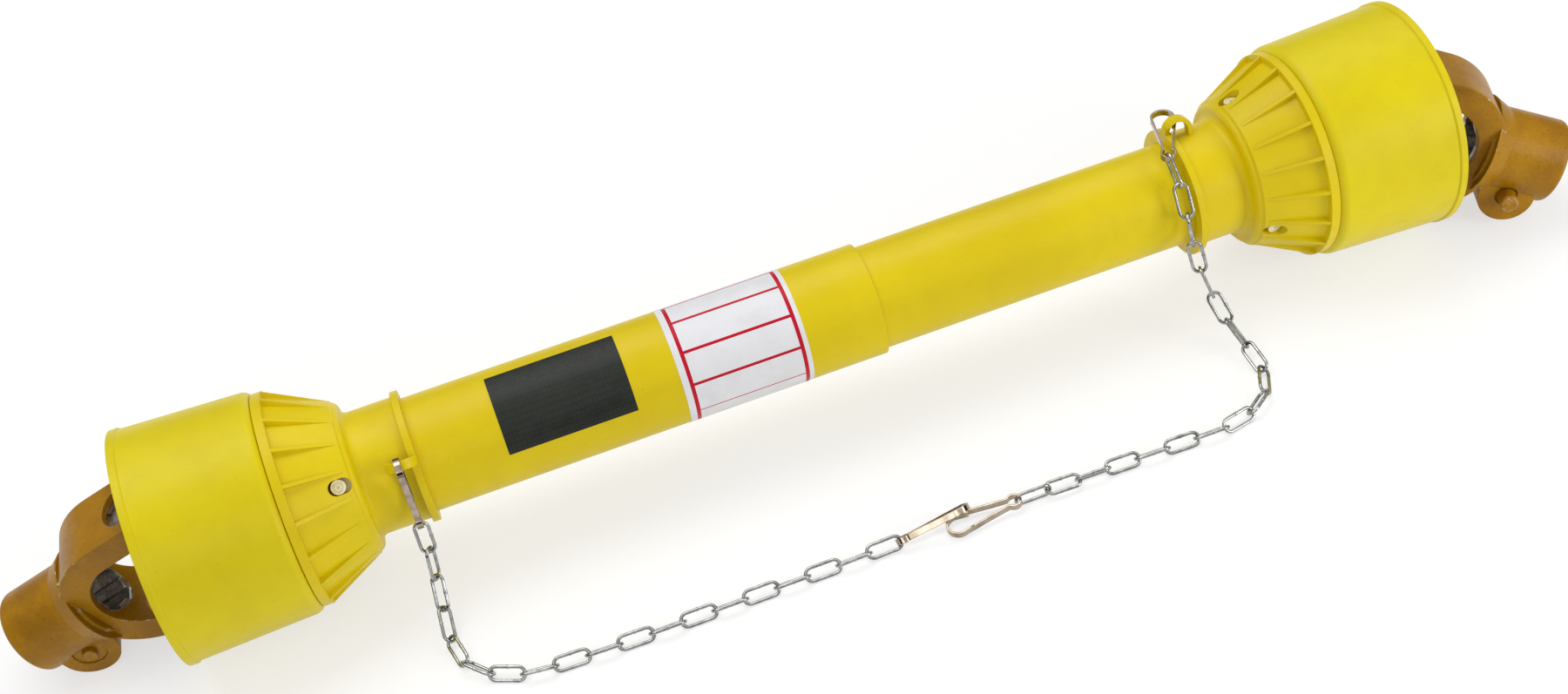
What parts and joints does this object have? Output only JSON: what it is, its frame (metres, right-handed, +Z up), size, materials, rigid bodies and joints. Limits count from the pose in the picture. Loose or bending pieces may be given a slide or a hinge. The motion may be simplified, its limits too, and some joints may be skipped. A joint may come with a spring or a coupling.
{
  "type": "pto drive shaft",
  "caption": "Guarded agricultural drive shaft with a universal joint at each end, telescoping profile tubes, plastic bells and guard tubes, and guard chains.",
  "frame": {"origin": "middle of the footprint, on the surface the shaft lies on", "axes": "+X along the shaft towards the inner guard tube's end, +Z up, +Y away from the side where the chain lies"},
  "size_m": [1.0397, 0.2219, 0.15],
  "materials": {
    "guard_plastic": "moulded yellow polyethylene, satin",
    "bearing_nylon": "natural nylon",
    "drive_tube_steel": "drawn steel tube, lightly oiled",
    "yoke_paint": "ochre paint on cast steel, chipped at the edges",
    "pin_paint": "ochre paint, worn bright on the button",
    "joint_steel": "ground and hardened steel",
    "chain_zinc": "bright zinc plate",
    "clip_steel": "nickel plated spring strip",
    "nipple_brass": "yellow passivated"
  },
  "bodies": {
    "guard_outer": {"outer_guard_tube": "guard_plastic", "bell_left": "guard_plastic", "cone_left": "guard_plastic", "bearing_ring_left": "bearing_nylon", "chain_left": "chain_zinc", "collar_clip_left": "clip_steel", "end_clip_left": "clip_steel"},
    "guard_inner": {"inner_guard_tube": "guard_plastic", "bell_right": "guard_plastic", "cone_right": "guard_plastic", "bearing_ring_right": "bearing_nylon", "chain_right": "chain_zinc", "collar_clip_right": "clip_steel", "end_clip_right": "clip_steel"},
    "drive_outer": {"outer_drive_tube": "drive_tube_steel", "inner_yoke_left": "yoke_paint", "roll_pin_left": "joint_steel", "caps_inner_left": "joint_steel", "circlips_inner_left": "joint_steel"},
    "drive_inner": {"inner_drive_tube": "drive_tube_steel", "inner_yoke_right": "yoke_paint", "roll_pin_right": "joint_steel", "caps_inner_right": "joint_steel", "circlips_inner_right": "joint_steel"},
    "left_cross": {"cross_left": "joint_steel", "grease_nipple_left": "nipple_brass"},
    "right_cross": {"cross_right": "joint_steel", "grease_nipple_right": "nipple_brass"},
    "left_end_yoke": {"end_yoke_left": "yoke_paint", "caps_outer_left": "joint_steel", "circlips_outer_left": "joint_steel", "pin_washer_left": "pin_paint", "pin_spring_left": "joint_steel"},
    "right_end_yoke": {"end_yoke_right": "yoke_paint", "caps_outer_right": "joint_steel", "circlips_outer_right": "joint_steel", "pin_washer_right": "pin_paint", "pin_spring_right": "joint_steel"},
    "left_pin": {"push_pin_left": "pin_paint"},
    "right_pin": {"push_pin_right": "pin_paint"}
  },
  "joints": [
    {"name": "shaft_spin", "type": "hinge", "parent": "guard_outer", "child": "drive_outer", "pos_m": [-0.403, 0.035, 0.075], "axis": [1, 0, 0], "continuous": true},
    {"name": "shaft_slide", "type": "slide", "parent": "drive_outer", "child": "drive_inner", "axis": [1, 0, 0], "range_m": [0, 0.26]},
    {"name": "guard_slide", "type": "slide", "parent": "guard_outer", "child": "guard_inner", "axis": [1, 0, 0], "range_m": [0, 0.26]},
    {"name": "left_cross_tilt", "type": "hinge", "parent": "drive_outer", "child": "left_cross", "pos_m": [-0.403, 0.035, 0.075], "axis": [0, 1, 0], "range_deg": [-6, 53]},
    {"name": "left_yoke_tilt", "type": "hinge", "parent": "left_cross", "child": "left_end_yoke", "pos_m": [-0.403, 0.035, 0.075], "axis": [-0.3948, 0, 0.9188], "range_deg": [-17, 31]},
    {"name": "right_cross_tilt", "type": "hinge", "parent": "drive_inner", "child": "right_cross", "pos_m": [0.409, 0.035, 0.075], "axis": [0, 1, 0], "range_deg": [-53, 6]},
    {"name": "right_yoke_tilt", "type": "hinge", "parent": "right_cross", "child": "right_end_yoke", "pos_m": [0.409, 0.035, 0.075], "axis": [0.4005, 0, 0.9163], "range_deg": [-2, 48]},
    {"name": "left_pin_push", "type": "slide", "parent": "left_end_yoke", "child": "left_pin", "axis": [-0.096, -0.9945, -0.0413], "range_m": [0, 0.008], "stiffness_N_per_m": 1200, "deforming": ["pin_spring_left"]},
    {"name": "right_pin_push", "type": "slide", "parent": "right_end_yoke", "child": "right_pin", "axis": [0.358, 0.9205, -0.1565], "range_m": [0, 0.008], "stiffness_N_per_m": 1200, "deforming": ["pin_spring_right"]}
  ],
  "couplings": [
    {"joint": "guard_slide", "follows": "shaft_slide", "ratio": 1}
  ]
}
